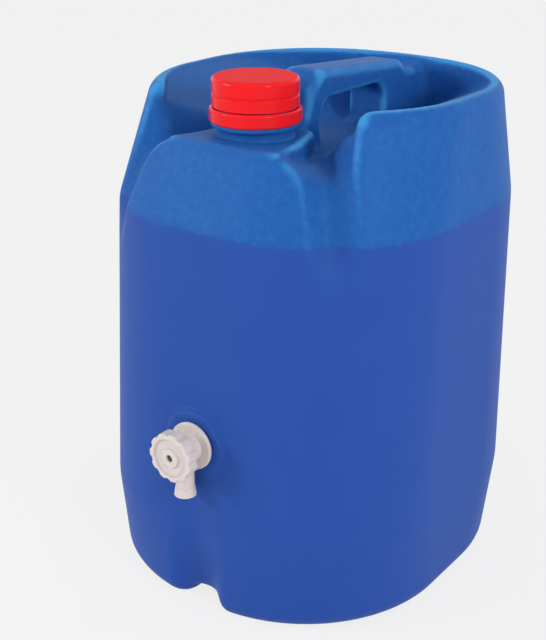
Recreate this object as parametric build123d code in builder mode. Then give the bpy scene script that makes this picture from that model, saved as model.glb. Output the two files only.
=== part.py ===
"""Carboy with spigot: a blow-moulded blue tank with a screw cap and a quarter-turn tap.

Millimetres. The origin is the middle of the base, +Z is up and the tap faces -Y.
"""
from build123d import *
import os

# Tank outline, outside sizes, at the base, the belly, the shoulder crease and the rim. Each level's
# flat is the straight run at the middle of its front, and its shift moves it back along +Y
base_width = 286.0
base_depth = 310.0
base_shift = -4.0
base_flat = 26.0
belly_width = 289.0
belly_depth = 320.0
belly_height = 75.0
belly_flat = 53.0
shoulder_width = 282.0
shoulder_depth = 302.0
shoulder_shift = 5.0
rim_height = 400.0
rim_flat = 32.0
shoulder_drop = 88.0
side_lean = 9.0
front_lean = 33.0
back_lean = 9.0
base_round = 14.0
rim_round = 9.0
wall = 3.0

# Sunk top deck inside the rim, with the finger trough along its middle; drops are below the rim
rim_band = 10.0
rim_step = 2.5
deck_fall = 26.0
trough_top_half = 60.0
trough_floor_half = 36.0
trough_drop = 50.0
trough_round = 14.0

# Handle, moulded over the trough
handle_width = 36.0
handle_front = -40.0
handle_crown_front = -16.0
handle_crown_back = 104.0
handle_rise = 10.0
handle_crown_fall = 9.0
handle_thickness = 23.0
handle_edge_round = 7.0
handle_root = 15.0
finger_gap_front = -15.0
finger_gap_back = 76.0
finger_gap_round = 13.0
bridge_drop = 8.0

# Neck platform and neck; heights are above the platform
platform_drop = 30.0
platform_front_half = 50.0
platform_neck_half = 41.0
platform_back_half = 28.0
platform_front_run = 46.0
well_half = 50.0
neck_y = -77.0
neck_radius = 28.4
neck_bore_radius = 24.4
neck_height = 39.5
neck_flare = 1.5
support_ring_height = 11.0
support_ring_radius = 33.2
support_ring_thickness = 3.0
catch_bead_rise = 5.6
catch_bead_radius = 30.8
catch_bead_thickness = 2.4

# Valleys from the trough to the front corners, and the grooves that run on down them: x, y, drop
valley_inner = (36.0, -40.0, 50.0)
valley_outer = (87.0, -105.0, 56.0)
valley_platform_side = 39.0
valley_platform_rise = 26.0
valley_rim_side = 19.0
valley_round = 12.0
groove_radius = 18.0
groove_stand_off = 6.0
groove_top = (71.0, -97.0, 7.0)
groove_low = (102.0, -123.0, 88.0)

# Notch where the mould's pinch-off meets the front, and the channel under the base behind it
pinch_width = 26.0
pinch_height = 9.0
pinch_length = 72.0
notch_radius = 22.0
notch_depth = 16.0
notch_height = 90.0

# Tap position and the tank's boss for it
tap_height = 147.0
boss_proud = 0.7
boss_radius = 27.0
boss_seat_proud = 0.3
boss_seat_radius = 21.0
tap_hole_clearance = 0.4

# Screw cap, liner and tamper band
cap_radius = 32.4
cap_gap = 0.4
cap_ring_height = 9.0
cap_groove_height = 1.2
cap_groove_depth = 0.9
cap_top_plate = 2.6
cap_skirt_wall = 2.0
cap_crown_round = 3.2
cap_ring_round = 0.8
liner_thickness = 1.8
liner_clearance = 0.2
band_height = 10.6
band_radius = 34.4
band_wall = 2.2
band_round = 1.8
band_lip_radius = 29.2
band_lip_rise = 2.6
band_lip_thickness = 2.4

# Tap body
washer_thickness = 1.5
washer_radius = 18.0
washer_bore_clearance = 0.3
flange_radius = 19.0
flange_thickness = 2.6
flange_round = 0.8
barrel_radius = 11.4
barrel_length = 13.8
barrel_bore_radius = 8.05
barrel_front_wall = 2.0
barrel_round = 0.8
stem_hole_radius = 5.0
tail_radius = 11.0
tail_beyond_nut = 2.0
spout_radius = 7.2
spout_bore_radius = 5.4
spout_collar_radius = 8.6
spout_collar_height = 7.0
spout_end_height = 109.5
spout_forward = 6.6

# Valve plug, seals, knob, screw and nut
running_clearance = 0.05
plug_bore_radius = 5.2
plug_nose = 2.0
plug_length = 25.0
port_radius = 4.4
stem_square = 6.4
stem_in_knob = 5.6
seal_width = 1.9
seal_depth = 1.3
seal_bore_gap = 0.02
seal_side_gap = 0.1
seal_edge = 0.8
knob_radius = 19.6
knob_scallops = 11
knob_scallop_radius = 4.4
knob_scallop_depth = 1.5
knob_thickness = 9.8
knob_gap = 0.4
knob_face_sink = 1.6
knob_rim_width = 4.2
knob_hub_radius = 7.4
knob_edge_round = 1.2
screw_hole_radius = 3.0
screw_head_radius = 2.7
screw_head_thickness = 1.6
screw_radius = 1.4
screw_length = 6.0
nut_across_flats = 32.0
nut_thickness = 8.0

cut_reach = 60.0


def plan_at(width, depth, flat, inset, centre_y=0.0):
    """Rounded rectangle of the tank's plan, drawn in by the inset, in the sketch that calls it."""
    with Locations((0, centre_y)):
        RectangleRounded(width - 2 * inset, depth - 2 * inset, (width - flat) / 2 - inset)


shoulder_height = rim_height - shoulder_drop
top_width = shoulder_width - 2 * side_lean
top_depth = shoulder_depth - front_lean - back_lean
top_shift = shoulder_shift + (front_lean - back_lean) / 2
rim_back_y = top_shift + top_depth / 2
trough_floor_height = rim_height - trough_drop
platform_height = rim_height - platform_drop
crown_height = rim_height + handle_rise
bridge_height = rim_height - bridge_drop
finger_gap_top = crown_height - handle_thickness
belly_front = -belly_depth / 2
front_taper = (shoulder_shift - shoulder_depth / 2 - belly_front) / (shoulder_height - belly_height)


def front_at(height):
    """Where the front wall's outside stands at a height between belly and shoulder."""
    return belly_front + front_taper * (height - belly_height)


# The boss stands proud of the wall at its nearest edge, and so does its seat inside
boss_face = min(front_at(tap_height - boss_radius), front_at(tap_height + boss_radius)) - boss_proud
seat_low = front_at(tap_height - boss_seat_radius)
seat_high = front_at(tap_height + boss_seat_radius)
boss_seat = max(seat_low, seat_high) + wall + boss_seat_proud


def envelope(inset):
    """The tank's body without its top, drawn in by the inset on every side."""
    with BuildPart() as body:
        with BuildSketch(Plane.XY.offset(inset)):
            plan_at(base_width, base_depth, base_flat, inset, base_shift)
        with BuildSketch(Plane.XY.offset(belly_height)):
            plan_at(belly_width, belly_depth, belly_flat, inset)
        with BuildSketch(Plane.XY.offset(shoulder_height)):
            plan_at(shoulder_width, shoulder_depth, belly_flat, inset, shoulder_shift)
        with BuildSketch(Plane.XY.offset(rim_height - inset)):
            plan_at(top_width, top_depth, rim_flat, inset, top_shift)
        loft(ruled=True)
        fillet(body.faces().sort_by(Axis.Z)[0].edges(), base_round - inset)
        fillet(body.faces().sort_by(Axis.Z)[-1].edges(), rim_round - inset)
    return body.part


def top_cutter(inset):
    """What is sunk into the top: deck, finger trough, neck well, valleys and corner grooves."""
    deck_half = top_width / 2 - rim_band + inset
    deck_edge = rim_height - rim_step - inset
    above = rim_height + cut_reach
    floor = trough_floor_height - inset
    with BuildPart() as cutter:
        with BuildSketch(Plane.XZ) as profile:
            with BuildLine():
                Polyline(
                    (-deck_half, above),
                    (-deck_half, deck_edge),
                    (-trough_top_half - inset, deck_edge - deck_fall),
                    (-trough_floor_half - inset, floor),
                    (trough_floor_half + inset, floor),
                    (trough_top_half + inset, deck_edge - deck_fall),
                    (deck_half, deck_edge),
                    (deck_half, above),
                    close=True,
                )
            make_face()
            bends = profile.vertices().filter_by(lambda v: abs(v.X) < deck_half - 1)
            fillet(bends, trough_round)
        extrude(amount=belly_depth, both=True)
        with BuildSketch(Plane.XY.offset(floor - cut_reach)):
            plan_at(top_width, top_depth, rim_flat, rim_band - inset, top_shift)
        extrude(amount=above + cut_reach, mode=Mode.INTERSECT)
        # the neck well is open to the front, above the platform
        with BuildSketch(Plane.XY.offset(platform_height - inset)):
            with Locations((0, handle_front - belly_depth / 2)):
                Rectangle(2 * (well_half + inset), belly_depth)
        extrude(amount=cut_reach + inset)
        for side in (1, -1):
            # a valley on each side leads from the trough down to the front corner
            inner = Vector(side * valley_inner[0], valley_inner[1], rim_height - valley_inner[2] - inset)
            outer = Vector(side * valley_outer[0], valley_outer[1], rim_height - valley_outer[2] - inset)
            run = outer - inner
            across = Vector(-run.Y, run.X, 0) * side
            start = inner - run * 0.25
            with BuildSketch(Plane(origin=start, x_dir=across, z_dir=run * side)) as valley:
                with BuildLine():
                    Polyline(
                        (0, 0),
                        (valley_rim_side + inset, valley_inner[2]),
                        (valley_rim_side + inset + 10, valley_inner[2] + cut_reach),
                        (-valley_platform_side, valley_inner[2] + cut_reach),
                        (-valley_platform_side, valley_platform_rise),
                        close=True,
                    )
                make_face()
                fillet(valley.vertices().sort_by_distance((0, 0, 0))[0], valley_round)
            extrude(amount=side * run.length * 2.2)
            # a groove carries on from the valley, and dies out below the crease
            fall = Vector(side * (groove_low[0] - groove_top[0]), groove_low[1] - groove_top[1],
                          groove_top[2] - groove_low[2])
            out = Vector(side * 0.7, -0.7, 0) * groove_stand_off
            foot = Vector(side * groove_top[0], groove_top[1], rim_height - groove_top[2]) + out - fall * 0.4
            with BuildSketch(Plane(origin=foot, z_dir=fall)):
                Circle(groove_radius + inset)
            extrude(amount=fall.length * 2.6)
        # the platform that carries the neck is left standing
        with BuildSketch(Plane.XY.offset(floor - cut_reach)) as platform:
            with BuildLine():
                Polyline(
                    (-platform_front_half, -belly_depth / 2),
                    (platform_front_half, -belly_depth / 2),
                    (platform_front_half, neck_y - platform_front_run),
                    (platform_neck_half, neck_y),
                    (platform_back_half, handle_front),
                    (-platform_back_half, handle_front),
                    (-platform_neck_half, neck_y),
                    (-platform_front_half, neck_y - platform_front_run),
                    close=True,
                )
            make_face()
            if inset:
                offset(amount=-inset, kind=Kind.INTERSECTION, mode=Mode.REPLACE)
        extrude(amount=platform_height - inset - (floor - cut_reach), mode=Mode.SUBTRACT)
    return cutter.part


def handle_form(inset):
    """The handle and the bridge behind it, side view extruded across the handle's width."""
    with BuildPart() as handle:
        with BuildSketch(Plane.YZ):
            with BuildLine():
                Polyline(
                    (handle_front - 6, trough_floor_height - handle_root),
                    (handle_front, platform_height),
                    (handle_front + 9, crown_height - 15),
                    (handle_crown_front, crown_height),
                    (handle_crown_back, crown_height - handle_crown_fall),
                    (handle_crown_back + 6, bridge_height),
                    (rim_back_y - rim_band / 2, bridge_height),
                    (rim_back_y - rim_band / 2, trough_floor_height - handle_root),
                    close=True,
                )
            make_face()
            if inset:
                offset(amount=-inset, kind=Kind.INTERSECTION, mode=Mode.REPLACE)
        extrude(amount=handle_width / 2 - inset, both=True)
        crown = handle.edges().filter_by(lambda e: abs(abs(e.center().X) - handle_width / 2 + inset) < 0.1)
        crown = crown.filter_by(lambda e: e.center().Z > platform_height + 1 and e.length > 8)
        fillet(crown, handle_edge_round - inset)
        with BuildSketch(Plane.YZ):
            with Locations(((finger_gap_front + finger_gap_back) / 2, finger_gap_top / 2)):
                RectangleRounded(finger_gap_back - finger_gap_front + 2 * inset,
                                 finger_gap_top + 2 * inset, finger_gap_round + inset)
        extrude(amount=handle_width, both=True, mode=Mode.SUBTRACT)
    return handle.part


def base_cutter(inset):
    """What is sunk into the base: the pinch-off channel and the front notch."""
    with BuildPart() as cutter:
        with BuildSketch(Plane.XZ.offset(belly_depth / 2)):
            RectangleRounded(pinch_width + 2 * inset, 2 * (pinch_height + inset), pinch_height - 1)
        extrude(amount=-pinch_length - inset)
        foot = Vector(0, base_shift - base_depth / 2 + notch_depth - notch_radius, 0)
        head = Vector(0, belly_front - notch_radius, notch_height)
        rise = head - foot
        with BuildSketch(Plane(origin=foot - rise, z_dir=rise)):
            Circle(notch_radius + inset)
        extrude(amount=rise.length * 2.2)
    return cutter.part


def moulded_form(inset):
    """The whole moulding at an inset: 0 gives its outside, the wall gives its hollow."""
    body = envelope(inset)
    sunk_top = top_cutter(inset)
    handle = handle_form(inset)
    sunk_base = base_cutter(inset)
    with BuildPart() as form:
        add(body)
        add(sunk_top, mode=Mode.SUBTRACT)
        add(handle)
        add(sunk_base, mode=Mode.SUBTRACT)
    return form.part


def tap_disc(face, radius):
    """A circle about the tap's axis, on the plane y = face, in a sketch of its own."""
    with BuildSketch(Plane.XZ.offset(-face)) as disc:
        with Locations((0, tap_height)):
            Circle(radius)
    return disc.sketch


neck_axis = Axis((0, neck_y, 0), (0, 0, 1))
back = (0, 1, 0)
tap_hole_radius = tail_radius + tap_hole_clearance
neck_top = platform_height + neck_height
band_bottom = platform_height + support_ring_height
catch_bead_height = band_bottom + catch_bead_rise
cap_bottom = band_bottom + band_height + cap_gap
cap_ceiling = neck_top + liner_thickness + 2 * running_clearance
cap_top = cap_ceiling + cap_top_plate

# Tank: the moulding less its hollow, with the neck on the platform and the boss for the tap
outside = moulded_form(0)
hollow = moulded_form(wall)

with BuildPart() as tank:
    add(outside)
    with BuildSketch(Plane.YZ):
        with BuildLine():
            ring_low = band_bottom - support_ring_thickness
            bead_high = catch_bead_height + catch_bead_thickness
            Polyline(
                (neck_y, platform_height - wall / 2),
                (neck_y + neck_radius, platform_height - wall / 2),
                (neck_y + neck_radius, ring_low - neck_flare),
                (neck_y + support_ring_radius, ring_low),
                (neck_y + support_ring_radius, band_bottom),
                (neck_y + neck_radius, band_bottom),
                (neck_y + neck_radius, catch_bead_height),
                (neck_y + catch_bead_radius, catch_bead_height),
                (neck_y + catch_bead_radius, catch_bead_height + catch_bead_thickness / 4),
                (neck_y + neck_radius, bead_high),
                (neck_y + neck_radius, neck_top),
                (neck_y, neck_top),
                close=True,
            )
        make_face()
    revolve(axis=neck_axis)
    extrude(tap_disc(boss_face, boss_radius), amount=boss_seat - boss_face, dir=back)
    add(hollow, mode=Mode.SUBTRACT)
    extrude(tap_disc(boss_face, boss_seat_radius), amount=boss_seat - boss_face, dir=back)
    with BuildSketch(Plane.XY.offset(platform_height - 2 * wall)):
        with Locations((0, neck_y)):
            Circle(neck_bore_radius)
    extrude(amount=cut_reach, mode=Mode.SUBTRACT)
    extrude(tap_disc(boss_face - 1, tap_hole_radius), amount=boss_seat - boss_face + 2, dir=back,
            mode=Mode.SUBTRACT)
tank.part.label = "tank"

# Screw cap: a plain upper ring and a lower ring with a groove between them, hollow below its plate
cap_ring_top = cap_bottom + cap_ring_height
cap_inner_radius = cap_radius - cap_skirt_wall

with BuildPart() as screw_cap:
    with BuildSketch(Plane.YZ) as cap_half:
        with BuildLine():
            Polyline(
                (neck_y, cap_ceiling),
                (neck_y, cap_top),
                (neck_y + cap_radius, cap_top),
                (neck_y + cap_radius, cap_ring_top + cap_groove_height),
                (neck_y + cap_radius - cap_groove_depth, cap_ring_top + cap_groove_height),
                (neck_y + cap_radius - cap_groove_depth, cap_ring_top),
                (neck_y + cap_radius, cap_ring_top),
                (neck_y + cap_radius, cap_bottom),
                (neck_y + cap_inner_radius, cap_bottom),
                (neck_y + cap_inner_radius, cap_ceiling),
                close=True,
            )
        make_face()
        outer_points = cap_half.vertices().filter_by(lambda v: v.X > neck_y + cap_radius - 0.01)
        fillet(outer_points.sort_by(Axis.Y)[-1], cap_crown_round)
        outer_points = cap_half.vertices().filter_by(lambda v: v.X > neck_y + cap_radius - 0.01)
        fillet(outer_points.filter_by(lambda v: v.Y < cap_ring_top + cap_groove_height + 0.01),
               cap_ring_round)
    revolve(axis=neck_axis)
screw_cap.part.label = "screw_cap"

# Liner: the sealing disc that the cap presses on the neck
with BuildPart() as cap_liner:
    with BuildSketch(Plane.XY.offset(neck_top + running_clearance)):
        with Locations((0, neck_y)):
            Circle(cap_inner_radius - liner_clearance)
    extrude(amount=cap_ceiling - neck_top - 2 * running_clearance)
cap_liner.part.label = "cap_liner"

# Tamper band: left on the neck, held by its lip under the neck's catch bead
band_inner_radius = band_radius - band_wall
lip_bottom = band_bottom + band_lip_rise

with BuildPart() as tamper_band:
    with BuildSketch(Plane.YZ) as band_half:
        with BuildLine():
            Polyline(
                (neck_y + band_inner_radius, band_bottom),
                (neck_y + band_radius, band_bottom),
                (neck_y + band_radius, band_bottom + band_height),
                (neck_y + band_inner_radius, band_bottom + band_height),
                (neck_y + band_inner_radius, lip_bottom + band_lip_thickness),
                (neck_y + band_lip_radius, lip_bottom + band_lip_thickness),
                (neck_y + band_lip_radius, lip_bottom + band_lip_thickness / 2),
                (neck_y + band_inner_radius, lip_bottom),
                close=True,
            )
        make_face()
        band_corners = band_half.vertices().filter_by(lambda v: v.X > neck_y + band_radius - 0.01)
        fillet(band_corners, band_round)
    revolve(axis=neck_axis)
tamper_band.part.label = "tamper_band"

# Tap body: flange, barrel, spout and threaded tail in one moulding
flange_back = boss_face - washer_thickness
flange_face = flange_back - flange_thickness
barrel_face = flange_face - barrel_length
bore_end = barrel_face + barrel_front_wall
nut_back = boss_seat + washer_thickness + nut_thickness
tail_end = nut_back + tail_beyond_nut
spout_y = flange_face - spout_forward

with BuildPart() as tap_body:
    extrude(tap_disc(flange_face, flange_radius), amount=flange_thickness, dir=back)
    fillet(tap_body.edges().filter_by(GeomType.CIRCLE).sort_by(Axis.Y)[0], flange_round)
    extrude(tap_disc(barrel_face, barrel_radius), amount=barrel_length, dir=back)
    fillet(tap_body.edges().filter_by(GeomType.CIRCLE).sort_by(Axis.Y)[0], barrel_round)
    extrude(tap_disc(flange_back, tail_radius), amount=tail_end - flange_back, dir=back)
    with BuildSketch(Plane.XY.offset(spout_end_height)):
        with Locations((0, spout_y)):
            Circle(spout_radius)
    extrude(amount=tap_height - spout_end_height)
    with BuildSketch(Plane.XY.offset(spout_end_height)):
        with Locations((0, spout_y)):
            Circle(spout_collar_radius)
    extrude(amount=spout_collar_height, taper=8)
    extrude(tap_disc(bore_end, barrel_bore_radius), amount=tail_end - bore_end + 1, dir=back,
            mode=Mode.SUBTRACT)
    extrude(tap_disc(barrel_face - 1, stem_hole_radius), amount=barrel_front_wall + 2, dir=back,
            mode=Mode.SUBTRACT)
    with BuildSketch(Plane.XY.offset(spout_end_height - 1)):
        with Locations((0, spout_y)):
            Circle(spout_bore_radius)
    extrude(amount=tap_height - spout_end_height + 1, mode=Mode.SUBTRACT)
tap_body.part.label = "tap_body"

# Tap plug: a hollow barrel, open to the tank behind, with a side port and a square stem in front
plug_radius = barrel_bore_radius - running_clearance
plug_face = bore_end + running_clearance
stem_radius = stem_hole_radius - running_clearance
knob_back = barrel_face - knob_gap
stem_end = knob_back - stem_in_knob
seal_middles = (plug_face + seal_edge + seal_width / 2, plug_face + 2 * (spout_y - plug_face) - seal_edge)
seal_floor_radius = plug_radius - seal_depth

with BuildPart() as tap_plug:
    extrude(tap_disc(plug_face, plug_radius), amount=plug_length, dir=back)
    for middle in seal_middles:
        extrude(tap_disc(middle - seal_width / 2, plug_radius + 1), amount=seal_width, dir=back,
                mode=Mode.SUBTRACT)
        extrude(tap_disc(middle - seal_width / 2, seal_floor_radius), amount=seal_width, dir=back)
    extrude(tap_disc(knob_back, stem_radius), amount=plug_face - knob_back, dir=back)
    with BuildSketch(Plane.XZ.offset(-stem_end)):
        with Locations((0, tap_height)):
            Rectangle(stem_square, stem_square)
    extrude(amount=knob_back - stem_end, dir=back)
    extrude(tap_disc(plug_face + plug_nose, plug_bore_radius), amount=plug_length, dir=back,
            mode=Mode.SUBTRACT)
    extrude(tap_disc(stem_end, screw_radius), amount=screw_length, dir=back, mode=Mode.SUBTRACT)
    with BuildSketch(Plane.YZ):
        with Locations((spout_y, tap_height)):
            Circle(port_radius)
    extrude(amount=plug_radius + 1, mode=Mode.SUBTRACT)
tap_plug.part.label = "tap_plug"

# Plug O-rings: two, one each side of the port
with BuildPart() as plug_o_rings:
    for middle in seal_middles:
        with BuildSketch(Plane.XZ.offset(-middle + seal_width / 2 - seal_side_gap)):
            with Locations((0, tap_height)):
                Circle(barrel_bore_radius - seal_bore_gap)
                Circle(seal_floor_radius, mode=Mode.SUBTRACT)
        extrude(amount=seal_width - 2 * seal_side_gap, dir=back)
plug_o_rings.part.label = "plug_o_rings"

# Tap knob: a scalloped disc, dished round its hub, with a square socket behind for the stem
knob_face = knob_back - knob_thickness
screw_seat = stem_end - seal_side_gap

with BuildPart() as tap_knob:
    with BuildSketch(Plane.XZ.offset(-knob_face)):
        with Locations((0, tap_height)):
            Circle(knob_radius)
            with PolarLocations(knob_radius + knob_scallop_radius - knob_scallop_depth, knob_scallops):
                Circle(knob_scallop_radius, mode=Mode.SUBTRACT)
    extrude(amount=knob_thickness, dir=back)
    fillet(tap_knob.faces().sort_by(Axis.Y)[0].edges(), knob_edge_round)
    with BuildSketch(Plane.XZ.offset(-knob_face)):
        with Locations((0, tap_height)):
            Circle(knob_radius - knob_rim_width)
            Circle(knob_hub_radius, mode=Mode.SUBTRACT)
    extrude(amount=knob_face_sink, dir=back, mode=Mode.SUBTRACT)
    extrude(tap_disc(knob_face, screw_hole_radius), amount=screw_seat - knob_face - 1, dir=back,
            mode=Mode.SUBTRACT)
    extrude(tap_disc(knob_face, screw_radius), amount=screw_seat - knob_face + 1, dir=back,
            mode=Mode.SUBTRACT)
    with BuildSketch(Plane.XZ.offset(-screw_seat)):
        with Locations((0, tap_height)):
            Rectangle(stem_square + 2 * running_clearance, stem_square + 2 * running_clearance)
    extrude(amount=knob_back - screw_seat + 1, dir=back, mode=Mode.SUBTRACT)
tap_knob.part.label = "tap_knob"

# Knob screw: its head sits at the bottom of the knob's centre hole
head_back = screw_seat - 1

with BuildPart() as knob_screw:
    extrude(tap_disc(head_back - screw_head_thickness, screw_head_radius), amount=screw_head_thickness,
            dir=back)
    extrude(tap_disc(head_back, screw_radius), amount=screw_length, dir=back)
knob_screw.part.label = "knob_screw"

# Washers either side of the tank's wall, and the back nut that pulls the tap tight
washer_bore = tail_radius + washer_bore_clearance

with BuildPart() as outer_tap_washer:
    extrude(tap_disc(flange_back, washer_radius), amount=washer_thickness, dir=back)
    extrude(tap_disc(flange_back, washer_bore), amount=washer_thickness, dir=back, mode=Mode.SUBTRACT)
outer_tap_washer.part.label = "outer_tap_washer"

with BuildPart() as inner_tap_washer:
    extrude(tap_disc(boss_seat, washer_radius), amount=washer_thickness, dir=back)
    extrude(tap_disc(boss_seat, washer_bore), amount=washer_thickness, dir=back, mode=Mode.SUBTRACT)
inner_tap_washer.part.label = "inner_tap_washer"

with BuildPart() as back_nut:
    with BuildSketch(Plane.XZ.offset(-boss_seat - washer_thickness)):
        with Locations((0, tap_height)):
            RegularPolygon(nut_across_flats / 2, 6, major_radius=False)
            Circle(tail_radius + running_clearance, mode=Mode.SUBTRACT)
    extrude(amount=nut_thickness, dir=back)
back_nut.part.label = "back_nut"

os.makedirs("parts", exist_ok=True)
for piece in (tank, screw_cap, cap_liner, tamper_band, tap_body, tap_plug, plug_o_rings, tap_knob,
              knob_screw, outer_tap_washer, inner_tap_washer, back_nut):
    export_step(piece.part, f"parts/{piece.part.label}.step")
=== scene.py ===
"""Carboy with spigot: a blue blow-moulded tank, a red screw cap and an off-white tap.

The tank's skin and its neck are made here. Cap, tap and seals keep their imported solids.
Shapes are worked out in millimetres and turned to metres when a mesh is made.
"""
import math

import bpy
import numpy as np
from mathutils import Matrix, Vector


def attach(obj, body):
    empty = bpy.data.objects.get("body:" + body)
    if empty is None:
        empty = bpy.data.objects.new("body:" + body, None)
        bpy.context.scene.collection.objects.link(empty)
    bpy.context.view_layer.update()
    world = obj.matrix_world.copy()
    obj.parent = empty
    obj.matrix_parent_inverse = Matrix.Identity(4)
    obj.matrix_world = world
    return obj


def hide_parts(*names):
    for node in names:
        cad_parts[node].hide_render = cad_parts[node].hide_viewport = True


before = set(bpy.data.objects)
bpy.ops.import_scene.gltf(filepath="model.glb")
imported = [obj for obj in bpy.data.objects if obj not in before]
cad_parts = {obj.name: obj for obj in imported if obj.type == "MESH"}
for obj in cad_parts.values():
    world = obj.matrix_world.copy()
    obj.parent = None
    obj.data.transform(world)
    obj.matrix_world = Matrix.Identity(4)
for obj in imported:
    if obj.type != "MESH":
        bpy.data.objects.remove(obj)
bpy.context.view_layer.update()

# Studio. A pale sheet of paper runs under and behind the carboy. A wide lamp stands at the front
# left and a small one at the right, both a little above the shoulder, so that the walls that
# lean in above the crease catch them and the upright walls below it don't.
studio = bpy.context.scene
studio.view_settings.view_transform = "Standard"


def linear(hex_colour):
    """sRGB hex text to the linear colour that Blender's shaders take."""
    parts = [int(hex_colour[i:i + 2], 16) / 255 for i in (1, 3, 5)]
    return tuple(c / 12.92 if c <= 0.04045 else ((c + 0.055) / 1.055) ** 2.4 for c in parts) + (1.0,)


def node(tree, kind, settings=None, **links):
    """Adds one shader node. A link is an input's name, or _ and its number, and a socket or a value."""
    made = tree.nodes.new(kind)
    for name, value in (settings or {}).items():
        setattr(made, name, value)
    for name, value in links.items():
        numbered = name[0] == "_" and name[1:].isdigit()
        socket = made.inputs[int(name[1:])] if numbered else made.inputs[name.replace("_", " ")]
        if isinstance(value, bpy.types.NodeSocket):
            tree.links.new(value, socket)
        else:
            socket.default_value = value
    return made


def new_finish(name):
    """A material for one finish, with an empty node tree."""
    finish = bpy.data.materials.new(name)
    finish.use_nodes = True
    finish.node_tree.nodes.clear()
    return finish


def background_rays(tree):
    """1 for rays that should see the plain background: the camera's, mirrored and refracted ones."""
    rays = node(tree, "ShaderNodeLightPath").outputs
    first = node(tree, "ShaderNodeMath", {"operation": "MAXIMUM"}, _0=rays["Is Camera Ray"],
                 _1=rays["Is Glossy Ray"])
    return node(tree, "ShaderNodeMath", {"operation": "MAXIMUM"}, _0=first.outputs[0],
                _1=rays["Is Transmission Ray"]).outputs[0]


camera = bpy.data.objects.new("camera", bpy.data.cameras.new("camera"))
studio.collection.objects.link(camera)
camera.location = (0.5246, -0.7742, 0.5796)
looks_at = Vector((-0.0214, -0.0262, 0.2001))
camera.rotation_euler = (looks_at - camera.location).to_track_quat("-Z", "Y").to_euler()
camera.data.sensor_width = 36.0
camera.data.lens = 67.55
camera.data.clip_start = 0.05
studio.camera = camera

sheet_colour = linear("#F3F3F3")
sheet_reach = 9
plain_share = 0.9  # the rest of the floor's look is lit paper, which keeps the carboy's shadow
floor = bpy.data.objects.new("floor", bpy.data.meshes.new("floor"))
floor.data.from_pydata([(x * sheet_reach, y * sheet_reach, 0) for x, y in ((-1, -1), (1, -1), (1, 1), (-1, 1))],
                       [], [(0, 1, 2, 3)])
studio.collection.objects.link(floor)
paper = new_finish("seamless paper")
tree = paper.node_tree
lit = node(tree, "ShaderNodeBsdfDiffuse", Color=linear("#E9EAEC"))
bright = node(tree, "ShaderNodeEmission", Color=sheet_colour, Strength=1.0)
share = node(tree, "ShaderNodeMath", {"operation": "MULTIPLY"}, _0=background_rays(tree), _1=plain_share)
mixed = node(tree, "ShaderNodeMixShader", _0=share.outputs[0], _1=lit.outputs[0], _2=bright.outputs[0])
node(tree, "ShaderNodeOutputMaterial", Surface=mixed.outputs[0])
floor.data.materials.append(paper)

room = bpy.data.worlds.new("room")
studio.world = room
room.use_nodes = True
tree = room.node_tree
tree.nodes.clear()
soft = node(tree, "ShaderNodeBackground", Color=linear("#EDF0F6"), Strength=0.95)
backdrop = node(tree, "ShaderNodeBackground", Color=sheet_colour, Strength=1.0)
mixed = node(tree, "ShaderNodeMixShader", _0=background_rays(tree), _1=soft.outputs[0], _2=backdrop.outputs[0])
node(tree, "ShaderNodeOutputWorld", Surface=mixed.outputs[0])


def softbox(name, place, size, power):
    """A rectangular area lamp at a place, turned to the carboy's shoulder."""
    lamp = bpy.data.objects.new(name, bpy.data.lights.new(name, "AREA"))
    lamp.data.shape = "RECTANGLE"
    lamp.data.size, lamp.data.size_y = size
    lamp.data.energy = power
    lamp.location = place
    shoulder = Vector((0, 0, 0.33))
    lamp.rotation_euler = (shoulder - Vector(place)).to_track_quat("-Z", "Y").to_euler()
    studio.collection.objects.link(lamp)


softbox("front lamp", (-1.35, -1.5, 0.95), (0.75, 0.3), 17)
softbox("corner lamp", (1.62, -0.68, 0.98), (0.3, 0.35), 15)

# Tank. One blow-moulded shell of blue high-density polyethylene, with the handle, the finger
# trough, the neck's platform and the corner grooves in the same moulding. Its edges are soft,
# because the parison stretches round every corner of the mould.
wall_heights = (0.0, 75.0, 312.0, 400.0)  # base, belly, crease and rim
wall_widths = (286, 289, 282, 264)
wall_depths = (310, 320, 302, 260)
wall_corners = (130, 118, 114.5, 116)
wall_centres = (-4, 0, 5, 17)
wall_ease = 5
rim_height, rim_round, rim_band = 400, 10, 10
base_round = 15

deck_stations = (0, 36, 60, 122, 140)  # from the middle of the trough out to the rim
deck_heights = (350, 350, 371.5, 397.5, 397.5)
trough_floor = 350

platform_height, platform_back, well_half = 370, -40, 50
platform_stations, platform_halves = (40, 77, 123, 200), (28, 41, 50, 50)

valley_head, valley_run, valley_fall = (36, -40), (51, -65), 6
valley_slope = math.radians(33.7)
groove_place, groove_way, groove_radius = (75.2, -101.2, 393.0), (31, -26, -81), 18

bar_stations = (-60, -46, -40, -31, -16, 104, 110, 150)  # front foot, crown, hook and bridge
bar_heights = (300, 335, 370, 395, 410, 401, 392, 392)
bar_half, bar_round, bar_back, bar_front, bar_foot = 18, 7, 142, -60, 300
gap_middle, gap_half, gap_top, gap_round = 30.5, 45.5, 387, 13

notch_y, notch_radius, notch_depth, notch_height = -165, 22, 17, 90
channel_half, channel_height, channel_back = 13, 9, -88
pad_height, pad_radius, pad_face, pad_root = 147, 27, -158.04, -150


def soft_max(a, b, blend):
    """The larger of two distances, with the corner between them rounded over."""
    h = np.clip(0.5 + 0.5 * (a - b) / blend, 0, 1)
    return b + (a - b) * h + blend * h * (1 - h)


def soft_min(a, b, blend):
    """The smaller of two distances, with the corner between them filled."""
    return -soft_max(-a, -b, blend)


def smooth_steps(z, heights, values, ease):
    """A run of straight slopes through heights and values, with each bend eased over a length."""
    shifts = np.linspace(-1, 1, 9)
    return sum(np.interp(z + ease * s, heights, values) for s in shifts) / len(shifts)


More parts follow.
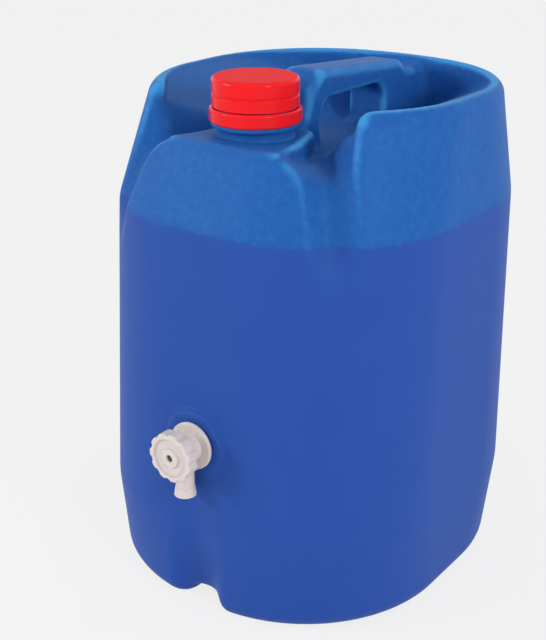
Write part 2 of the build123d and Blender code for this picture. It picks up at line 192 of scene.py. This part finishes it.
def rounded_join(a, b, radius):
    """Two faces that meet over a true arc."""
    a, b = a + radius, b + radius
    return np.hypot(np.maximum(a, 0), np.maximum(b, 0)) + np.minimum(np.maximum(a, b), 0) - radius


def rounded_plan(x, y, width, depth, radius, centre_y):
    """Distance outside a rounded rectangle, negative inside."""
    return rounded_join(np.abs(x) - width / 2, np.abs(y - centre_y) - depth / 2, radius)


def walls_and_ends(x, y, z):
    """The tank as a plain rounded drum: leaning walls, base and rim."""
    width, depth, radius, centre = (smooth_steps(z, wall_heights, sizes, wall_ease)
                                    for sizes in (wall_widths, wall_depths, wall_corners, wall_centres))
    walls = rounded_plan(x, y, width, depth, radius, centre)
    return rounded_join(rounded_join(walls, -z, base_round), z - rim_height, rim_round)


def sunk_top(x, y, z):
    """What is scooped out of the drum's top, negative in the scoop."""
    side = np.abs(x)
    # deck and finger trough inside the rim, each slope's height turned to a true distance
    floor_z = smooth_steps(side, deck_stations, deck_heights, 7)
    lean = smooth_steps(side, (0, 36, 36.01, 60, 60.01, 140), (1, 1, 0.745, 0.745, 0.922, 0.922), 4)
    inside_rim = rounded_plan(x, y, wall_widths[3] - 2 * rim_band, wall_depths[3] - 2 * rim_band,
                              wall_corners[3] - rim_band, wall_centres[3])
    sunk = soft_max((floor_z - z) * lean, inside_rim, 6)
    # well round the neck, open to the front
    well = soft_max(soft_max(platform_height - z, side - well_half, 6), y - platform_back, 6)
    sunk = soft_min(sunk, well, 4)
    # valleys from the trough to the front corners
    run = math.hypot(*valley_run)
    ux, uy = valley_run[0] / run, valley_run[1] / run
    across = (side - valley_head[0]) * -uy + (y - valley_head[1]) * ux
    along = (side - valley_head[0]) * ux + (y - valley_head[1]) * uy
    lift = z - trough_floor + valley_fall * along / run
    inner_bank = -across * math.sin(valley_slope) - lift * math.cos(valley_slope)
    outer_bank = (across - lift * 19 / 50) * 0.935
    valley = soft_max(soft_max(inner_bank, outer_bank, 16), -across - 39, 4)
    valley = soft_max(valley, -along - 22, 6)
    sunk = soft_min(sunk, valley, 8)
    # platform left standing under the neck
    half = np.interp(-y, platform_stations, platform_halves)
    platform = soft_max(soft_max(side - half, z - platform_height, 5), y - platform_back, 5)
    sunk = soft_max(sunk, -platform, 5)
    # grooves down the front corners
    way = np.array(groove_way) / math.sqrt(sum(w * w for w in groove_way))
    off = [side - groove_place[0], y - groove_place[1], z - groove_place[2]]
    t = sum(o * w for o, w in zip(off, way))
    away = np.sqrt(sum((o - t * w) ** 2 for o, w in zip(off, way)))
    return soft_min(sunk, away - groove_radius, 10)


def handle_bar(x, y, z):
    """The handle and the bridge behind it, with the finger gap through the bar."""
    bar_top = smooth_steps(y, bar_stations, bar_heights, 3)
    lean = smooth_steps(y, (-40, -38, -22, -16, 150), (0.25, 0.3, 0.6, 1, 1), 3)
    bar = rounded_join((z - bar_top) * lean, np.abs(x) - bar_half, bar_round)
    bar = soft_max(soft_max(bar, y - bar_back, 4), bar_front - y, 4)
    bar = np.maximum(bar, bar_foot - z)
    gap = rounded_join(np.abs(y - gap_middle) - gap_half, z - gap_top, gap_round)
    return soft_max(bar, -gap, 6)


def tank_outside(x, y, z):
    """Rough distance to the tank's outside in mm, negative in the plastic or the liquid."""
    body = soft_max(walls_and_ends(x, y, z), -sunk_top(x, y, z), 7)
    body = soft_min(body, handle_bar(x, y, z), 9)
    # notch at the front of the base, and the channel behind it
    slant = math.hypot(notch_depth, notch_height)
    notch = np.hypot(x, ((y - notch_y) * notch_height + z * notch_depth) / slant) - notch_radius
    channel = soft_max(soft_max(np.abs(x) - channel_half, z - channel_height, 6), y - channel_back, 6)
    body = soft_max(body, -soft_min(notch, channel, 8), 10)
    # flat pad for the tap
    pad = np.maximum(np.hypot(x, z - pad_height) - pad_radius, np.maximum(pad_face - y, y - pad_root))
    return soft_min(body, pad, 1.5)


def net_of(field, low, high, step):
    """Quads over a field's zero surface: one point for each cell that the surface passes through."""
    axes = [np.arange(a, b + step, step) for a, b in zip(low, high)]
    values = field(axes[0][:, None, None], axes[1][None, :, None], axes[2][None, None, :])
    cells = tuple(len(a) - 1 for a in axes)
    count = np.zeros(cells[0] * cells[1] * cells[2])
    sums = [np.zeros(len(count)) for _ in range(3)]
    quads = []
    for axis in range(3):
        first = values[tuple(slice(0, -1) if i == axis else slice(None) for i in range(3))]
        second = values[tuple(slice(1, None) if i == axis else slice(None) for i in range(3))]
        u, v = (axis + 1) % 3, (axis + 2) % 3
        crossed = np.argwhere((first < 0) != (second < 0))
        inner = ((crossed[:, u] > 0) & (crossed[:, v] > 0)
                 & (crossed[:, u] < cells[u]) & (crossed[:, v] < cells[v]))
        crossed = crossed[inner]
        a, b = first[tuple(crossed.T)], second[tuple(crossed.T)]
        point = crossed.astype(float)
        point[:, axis] += a / (a - b)
        ring = []
        for du, dv in ((-1, -1), (0, -1), (0, 0), (-1, 0)):
            cell = crossed.copy()
            cell[:, u] += du
            cell[:, v] += dv
            flat = np.ravel_multi_index(tuple(cell.T), cells)
            count += np.bincount(flat, minlength=len(count))
            for i in range(3):
                sums[i] += np.bincount(flat, weights=point[:, i], minlength=len(count))
            ring.append(flat)
        ring = np.stack(ring, 1)
        ring[a >= 0] = ring[a >= 0][:, ::-1]
        quads.append(ring)
    used = np.nonzero(count)[0]
    number = np.full(len(count), -1)
    number[used] = np.arange(len(used))
    points = np.stack([low[i] + step * sums[i][used] / count[used] for i in range(3)], 1)
    return points, number[np.concatenate(quads)]


def settle(field, points, quads, rounds):
    """Evens out the net and draws each point back on to the surface."""
    pairs = np.concatenate([quads[:, (i, (i + 1) % 4)] for i in range(4)])
    pairs = np.concatenate([pairs, pairs[:, ::-1]])
    valence = np.bincount(pairs[:, 0], minlength=len(points))
    for _ in range(rounds):
        mean = np.stack([np.bincount(pairs[:, 0], weights=points[pairs[:, 1], i], minlength=len(points))
                         for i in range(3)], 1)
        points = 0.5 * points + 0.5 * mean / valence[:, None]
        for _ in range(2):
            value = field(*points.T)
            slope = np.stack([field(*(points + 0.25 * np.eye(3)[i]).T) - value for i in range(3)], 1) / 0.25
            reach = np.clip(value / np.maximum((slope**2).sum(1), 0.05), -2, 2)
            points = points - reach[:, None] * slope
    return points


def mesh_object(name, points, faces):
    """A new smooth-shaded object from points in mm."""
    made = bpy.data.objects.new(name, bpy.data.meshes.new(name))
    made.data.from_pydata([tuple(p) for p in np.asarray(points) / 1000], [],
                          [tuple(int(i) for i in f) for f in faces])
    made.data.validate()
    studio.collection.objects.link(made)
    made.data.shade_smooth()
    return made


net_step = 2.8
points, quads = net_of(tank_outside, (-150, -168, -6), (150, 168, 420), net_step)
points = settle(tank_outside, points, quads, 3)
tank_shell = mesh_object("tank_shell", points, quads)

# Blow-moulded HDPE: a waxy, half-gloss skin that light enters a few millimetres, so shade stays
# blue. Above the crease the blue is painted paler and more cyan, a painted sheen where the walls
# that lean in catch the lamps, and the edges there carry a painted highlight. The flecks in that
# sheen are drawn about 5 mm across, five times coarser than real flecks of about 1 mm, so they show.
clouds, flecks, pores = 30.0, 190.0, 420.0  # patterns to a metre: 33 mm, 5 mm and 2.4 mm
crease_low, crease_high, crease_waver = 0.3115, 0.3155, 0.003
hdpe = new_finish("blow-moulded HDPE")
tree = hdpe.node_tree
place = node(tree, "ShaderNodeTexCoord").outputs["Object"]
cloud = node(tree, "ShaderNodeTexNoise", Vector=place, Scale=clouds, Detail=4.0, Roughness=0.6)
body_tint = node(tree, "ShaderNodeMix", {"data_type": "RGBA"}, Factor=cloud.outputs[0],
             _6=linear("#264692"), _7=linear("#294B97"))
fleck = node(tree, "ShaderNodeTexNoise", Vector=place, Scale=flecks, Detail=4.0, Roughness=0.75)
patch = node(tree, "ShaderNodeMapRange", Value=fleck.outputs[0], From_Min=0.4, From_Max=0.72)
# Painted sheen: the paler, more cyan blue above the crease stands in for the lamps' sheen on the walls that lean
# in.
painted_sheen_tint = node(tree, "ShaderNodeMix", {"data_type": "RGBA"}, Factor=patch.outputs[0],
            _6=linear("#1F5298"), _7=linear("#225EA2"))
height = node(tree, "ShaderNodeSeparateXYZ", Vector=place)
# The painted sheen's lower border is made ragged by the flecks along the crease.
ragged = node(tree, "ShaderNodeMath", {"operation": "MULTIPLY_ADD"}, _0=fleck.outputs[0], _1=crease_waver,
              _2=height.outputs[2])
above = node(tree, "ShaderNodeMapRange", {"interpolation_type": "SMOOTHSTEP"}, Value=ragged.outputs[0],
             From_Min=crease_low, From_Max=crease_high)
tint = node(tree, "ShaderNodeMix", {"data_type": "RGBA"}, Factor=above.outputs[0],
            _6=body_tint.outputs[2], _7=painted_sheen_tint.outputs[2])
# Painted highlight: convex edges above the crease turn pale cyan, standing in for the lamps' highlights on the
# rim, handle and lip.
curve = node(tree, "ShaderNodeNewGeometry")
edge = node(tree, "ShaderNodeMapRange", {"interpolation_type": "SMOOTHSTEP", "name": "painted edge highlights"},
            Value=curve.outputs["Pointiness"], From_Min=0.513, From_Max=0.545, To_Max=0.8)
upper_edge = node(tree, "ShaderNodeMath", {"operation": "MULTIPLY"}, _0=edge.outputs[0], _1=above.outputs[0])
painted_edge_highlight = node(tree, "ShaderNodeMix", {"data_type": "RGBA"}, Factor=upper_edge.outputs[0],
               _6=tint.outputs[2], _7=linear("#3C8FC8"))
skin = node(tree, "ShaderNodeTexNoise", Vector=place, Scale=pores, Detail=2.0)
gloss = node(tree, "ShaderNodeMapRange", Value=cloud.outputs[0], To_Min=0.48, To_Max=0.6)
rough = node(tree, "ShaderNodeBump", Strength=0.25, Distance=0.0006, Height=skin.outputs[0])
plastic = node(tree, "ShaderNodeBsdfPrincipled", Base_Color=painted_edge_highlight.outputs[2], Roughness=gloss.outputs[0],
               IOR=1.54, Specular_IOR_Level=0.16, Specular_Tint=(0.3, 0.75, 1.0, 1.0),
               Subsurface_Weight=0.35, Subsurface_Radius=(0.5, 0.7, 1.0), Subsurface_Scale=0.012,
               Normal=rough.outputs[0])
node(tree, "ShaderNodeOutputMaterial", Surface=plastic.outputs[0])
tank_shell.data.materials.append(hdpe)
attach(tank_shell, "can")
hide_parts("tank")

# Neck. Part of the tank's moulding, and finished in the mould: a ring that carries the tamper
# band, a bead that holds it down, and the cap's thread above.
neck_y = -77.0
neck_profile = [  # radius and height, up the bore, over the lip and down the outside
    (24.4, 362), (24.4, 409.0), (24.9, 409.5), (27.9, 409.5), (28.4, 409.0), (28.4, 389.0),
    (30.6, 387.4), (30.8, 386.9), (30.6, 386.6), (28.4, 386.6), (28.4, 381.0), (33.0, 381.0),
    (33.2, 380.7), (33.2, 378.3), (32.9, 378.0), (28.8, 376.4), (28.4, 375.4), (28.5, 371.6),
    (29.4, 370.2), (31.5, 369.4), (31.5, 366), (28.0, 362)]


def lathe(name, profile, centre_y, turns=96):
    """A closed profile of (radius, height) in mm, turned round an upright axis."""
    angle = np.linspace(0, 2 * math.pi, turns, endpoint=False)
    points = [(r * c, centre_y + r * s, h) for c, s in zip(np.cos(angle), np.sin(angle)) for r, h in profile]
    n = len(profile)
    faces = [(i * n + j, (i + 1) % turns * n + j, (i + 1) % turns * n + (j + 1) % n, i * n + (j + 1) % n)
             for i in range(turns) for j in range(n)]
    return mesh_object(name, points, faces)


neck = lathe("neck_finish", neck_profile, neck_y)

# The thread runs a little over two turns at the cap's pitch, and out into the wall at both ends.
thread_pitch, thread_low, thread_turns, thread_rise, thread_steps = 6.0, 390.6, 2.3, 1.2, 200
neck_wall = 28.4
points, faces = [], []
for i in range(thread_steps + 1):
    share = i / thread_steps
    angle = 2 * math.pi * thread_turns * share
    crest = neck_wall + thread_rise * min(1.0, 12 * share, 12 * (1 - share))
    middle = thread_low + thread_pitch * thread_turns * share
    for radius, rise in ((neck_wall - 0.2, -1.3), (crest, -0.5), (crest, 0.5), (neck_wall - 0.2, 1.3)):
        points.append((radius * math.cos(angle), neck_y + radius * math.sin(angle), middle + rise))
    if i < thread_steps:
        faces += [(4 * i + j, 4 * i + 4 + j, 4 * i + 4 + (j + 1) % 4, 4 * i + (j + 1) % 4) for j in range(4)]
faces += [(0, 1, 2, 3), tuple(4 * thread_steps + j for j in (3, 2, 1, 0))]
thread = mesh_object("neck_thread", points, faces)

# The same HDPE, but with the painted edge highlight turned off, so the neck's edges, pressed sharp in the mould,
# stay plain.
neck_hdpe = hdpe.copy()
neck_hdpe.name = "mould-finished HDPE"
neck_hdpe.node_tree.nodes["painted edge highlights"].inputs["To Max"].default_value = 0
for part in (neck, thread):
    part.data.materials.append(neck_hdpe)
    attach(part, "can")

# Screw cap and tamper band. Injection-moulded red polypropylene from one tool, snapped apart at
# the bridges the first time the cap is turned, so that the band stays below on the neck.
# The polished sides mirror the lamps in small hard spots, and the crown is spark-eroded to matt.
cap_clouds = 60.0  # 17 mm apart, as the colour flows from the gate
crown_low, crown_high = 0.4132, 0.4138
cap_red = new_finish("gloss polypropylene")
tree = cap_red.node_tree
place = node(tree, "ShaderNodeTexCoord").outputs["Object"]
cloud = node(tree, "ShaderNodeTexNoise", Vector=place, Scale=cap_clouds, Detail=2.0)
tint = node(tree, "ShaderNodeMix", {"data_type": "RGBA"}, Factor=cloud.outputs[0],
            _6=linear("#D9191F"), _7=linear("#E21D23"))
height = node(tree, "ShaderNodeSeparateXYZ", Vector=place)
crown = node(tree, "ShaderNodeMapRange", Value=height.outputs[2], From_Min=crown_low, From_Max=crown_high,
             To_Min=0.18, To_Max=0.65)
plastic = node(tree, "ShaderNodeBsdfPrincipled", Base_Color=tint.outputs[2], Roughness=crown.outputs[0],
               IOR=1.5, Specular_IOR_Level=0.18, Specular_Tint=(1.0, 0.5, 0.4, 1.0))
node(tree, "ShaderNodeOutputMaterial", Surface=plastic.outputs[0])
for name in ("screw_cap", "tamper_band"):
    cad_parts[name].data.materials[0] = cap_red

# Cap liner. A disc punched from foamed polyethylene sheet and pressed into the cap. It is matt
# white with closed cells, which are about 0.7 mm across.
foam_cells = 1400.0
foam = new_finish("foamed polyethylene")
tree = foam.node_tree
place = node(tree, "ShaderNodeTexCoord").outputs["Object"]
cells = node(tree, "ShaderNodeTexVoronoi", Vector=place, Scale=foam_cells)
tint = node(tree, "ShaderNodeMix", {"data_type": "RGBA"}, Factor=cells.outputs[0],
            _6=linear("#E6E6E2"), _7=linear("#D3D3CE"))
dimple = node(tree, "ShaderNodeBump", Strength=0.4, Distance=0.0002, Height=cells.outputs[0])
foam_skin = node(tree, "ShaderNodeBsdfPrincipled", Base_Color=tint.outputs[2], Roughness=0.8, IOR=1.51,
                 Normal=dimple.outputs[0])
node(tree, "ShaderNodeOutputMaterial", Surface=foam_skin.outputs[0])
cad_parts["cap_liner"].data.materials[0] = foam

# Tap. Body, plug, knob and back nut are injection-moulded in uncoloured polypropylene, screwed
# together through the tank's wall. It is a milky off-white that lets a little light through,
# so its edges glow softly and its shade is never black.
tap_clouds = 140.0  # 7 mm apart, where the melt cooled unevenly
natural = new_finish("natural polypropylene")
tree = natural.node_tree
place = node(tree, "ShaderNodeTexCoord").outputs["Object"]
cloud = node(tree, "ShaderNodeTexNoise", Vector=place, Scale=tap_clouds, Detail=3.0)
tint = node(tree, "ShaderNodeMix", {"data_type": "RGBA"}, Factor=cloud.outputs[0],
            _6=linear("#C3B7B1"), _7=linear("#D2C8C2"))
plastic = node(tree, "ShaderNodeBsdfPrincipled", Base_Color=tint.outputs[2], Roughness=0.4, IOR=1.49,
               Subsurface_Weight=0.25, Subsurface_Scale=0.004)
node(tree, "ShaderNodeOutputMaterial", Surface=plastic.outputs[0])
for name in ("tap_body", "tap_plug", "tap_knob", "back_nut"):
    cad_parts[name].data.materials[0] = natural

# Seals. Two flat washers clamp the tank's wall and two rings seal the plug. All are moulded in
# black nitrile rubber, matt with a faint grey bloom in specks of about 4 mm.
bloom_specks = 250.0
nitrile = new_finish("moulded nitrile rubber")
tree = nitrile.node_tree
place = node(tree, "ShaderNodeTexCoord").outputs["Object"]
bloom = node(tree, "ShaderNodeTexNoise", Vector=place, Scale=bloom_specks, Detail=3.0)
tint = node(tree, "ShaderNodeMix", {"data_type": "RGBA"}, Factor=bloom.outputs[0],
            _6=linear("#1B1B1C"), _7=linear("#2B2B2D"))
gloss = node(tree, "ShaderNodeMapRange", Value=bloom.outputs[0], To_Min=0.65, To_Max=0.85)
rubber = node(tree, "ShaderNodeBsdfPrincipled", Base_Color=tint.outputs[2], Roughness=gloss.outputs[0], IOR=1.52)
node(tree, "ShaderNodeOutputMaterial", Surface=rubber.outputs[0])
for name in ("outer_tap_washer", "inner_tap_washer", "plug_o_rings"):
    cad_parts[name].data.materials[0] = nitrile

# Knob screw. A small screw turned from stainless steel, dulled by handling and seen only at the
# bottom of the knob's hole. Its tool marks are drawn about 1 mm apart, coarser than real.
tool_marks = 900.0
steel = new_finish("turned stainless steel")
tree = steel.node_tree
place = node(tree, "ShaderNodeTexCoord").outputs["Object"]
grain = node(tree, "ShaderNodeTexNoise", Vector=place, Scale=tool_marks, Detail=2.0)
gloss = node(tree, "ShaderNodeMapRange", Value=grain.outputs[0], To_Min=0.3, To_Max=0.5)
metal = node(tree, "ShaderNodeBsdfPrincipled", Base_Color=linear("#5E5C5B"), Roughness=gloss.outputs[0],
             Metallic=1.0)
node(tree, "ShaderNodeOutputMaterial", Surface=metal.outputs[0])
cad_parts["knob_screw"].data.materials[0] = steel
